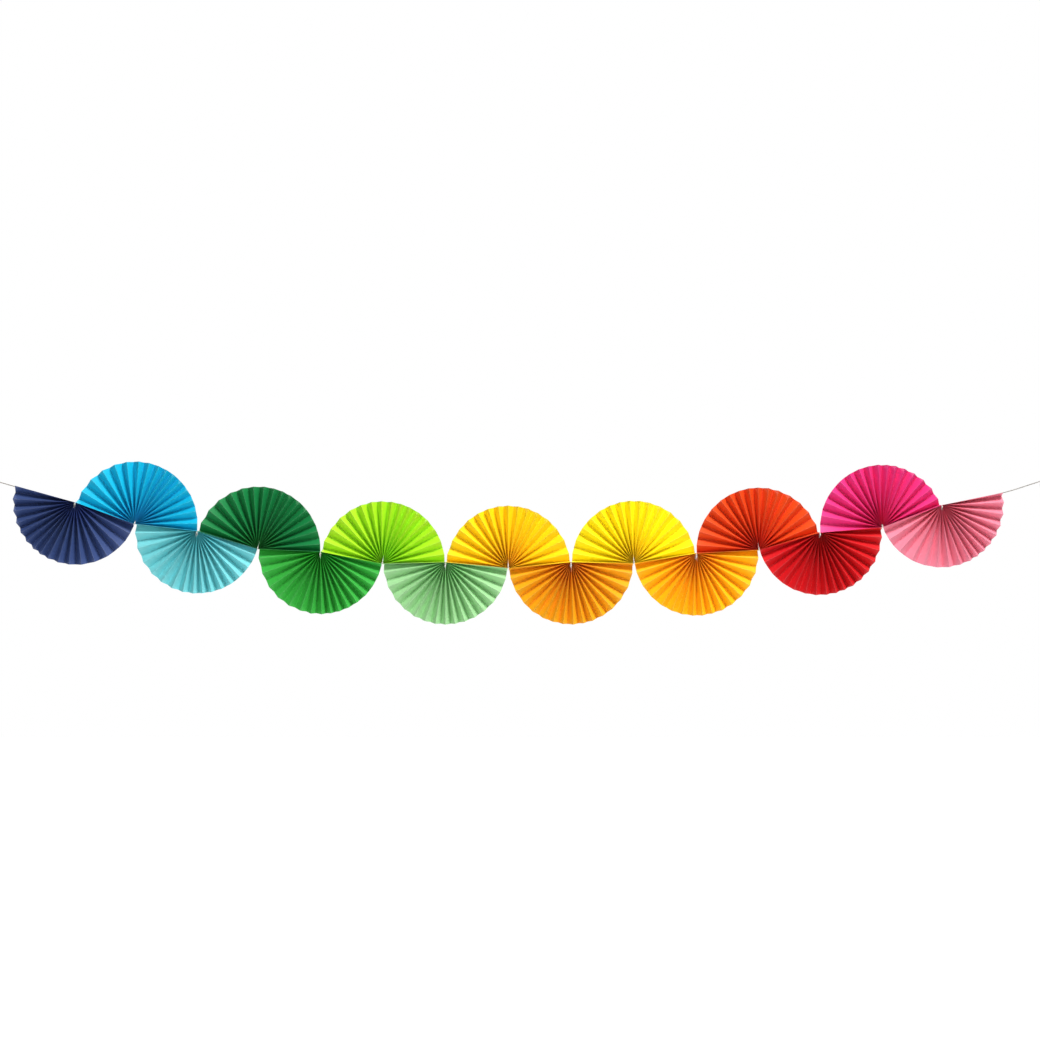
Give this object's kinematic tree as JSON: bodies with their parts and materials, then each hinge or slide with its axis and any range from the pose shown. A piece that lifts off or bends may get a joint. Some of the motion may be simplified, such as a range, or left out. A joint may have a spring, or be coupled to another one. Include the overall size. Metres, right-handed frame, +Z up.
{
  "type": "paper fan garland",
  "caption": "Hanging garland of half-round pleated paper fans in rainbow colours, glued edge to edge and opening up and down by turns, with a looped string at each end.",
  "frame": {"origin": "centre of the bounding box of the fans and their ties, without the end strings", "axes": "+X along the garland towards the light pink end, +Y from its front to its back, +Z up as it hangs"},
  "size_m": [1.7235, 0.0228, 0.2614],
  "materials": {
    "paper_navy": "matte, dyed through",
    "paper_sky_blue": "matte, dyed through",
    "paper_aqua": "matte, dyed through",
    "paper_dark_green": "matte, dyed through",
    "paper_green": "matte, dyed through",
    "paper_lime": "matte, dyed through",
    "paper_mint": "matte, dyed through",
    "paper_golden_yellow": "matte, dyed through",
    "paper_amber": "matte, dyed through",
    "paper_yellow": "matte, dyed through",
    "paper_light_orange": "matte, dyed through",
    "paper_orange": "matte, dyed through",
    "paper_red": "matte, dyed through",
    "paper_hot_pink": "matte, dyed through",
    "paper_light_pink": "matte, dyed through",
    "thread": "twisted white thread",
    "string": "twisted white cotton"
  },
  "bodies": {
    "root": {"fan_01_navy": "paper_navy", "fan_02_sky_blue": "paper_sky_blue", "fan_03_aqua": "paper_aqua", "fan_04_dark_green": "paper_dark_green", "fan_05_green": "paper_green", "fan_06_lime": "paper_lime", "fan_07_mint": "paper_mint", "fan_08_golden_yellow": "paper_golden_yellow", "fan_09_amber": "paper_amber", "fan_10_yellow": "paper_yellow", "fan_11_light_orange": "paper_light_orange", "fan_12_orange": "paper_orange", "fan_13_red": "paper_red", "fan_14_hot_pink": "paper_hot_pink", "fan_15_light_pink": "paper_light_pink", "tie_01": "thread", "tie_02": "thread", "tie_03": "thread", "tie_04": "thread", "tie_05": "thread", "tie_06": "thread", "tie_07": "thread", "tie_08": "thread", "tie_09": "thread", "tie_10": "thread", "tie_11": "thread", "tie_12": "thread", "tie_13": "thread", "tie_14": "thread", "tie_15": "thread", "left_string": "string", "right_string": "string"}
  },
  "joints": []
}
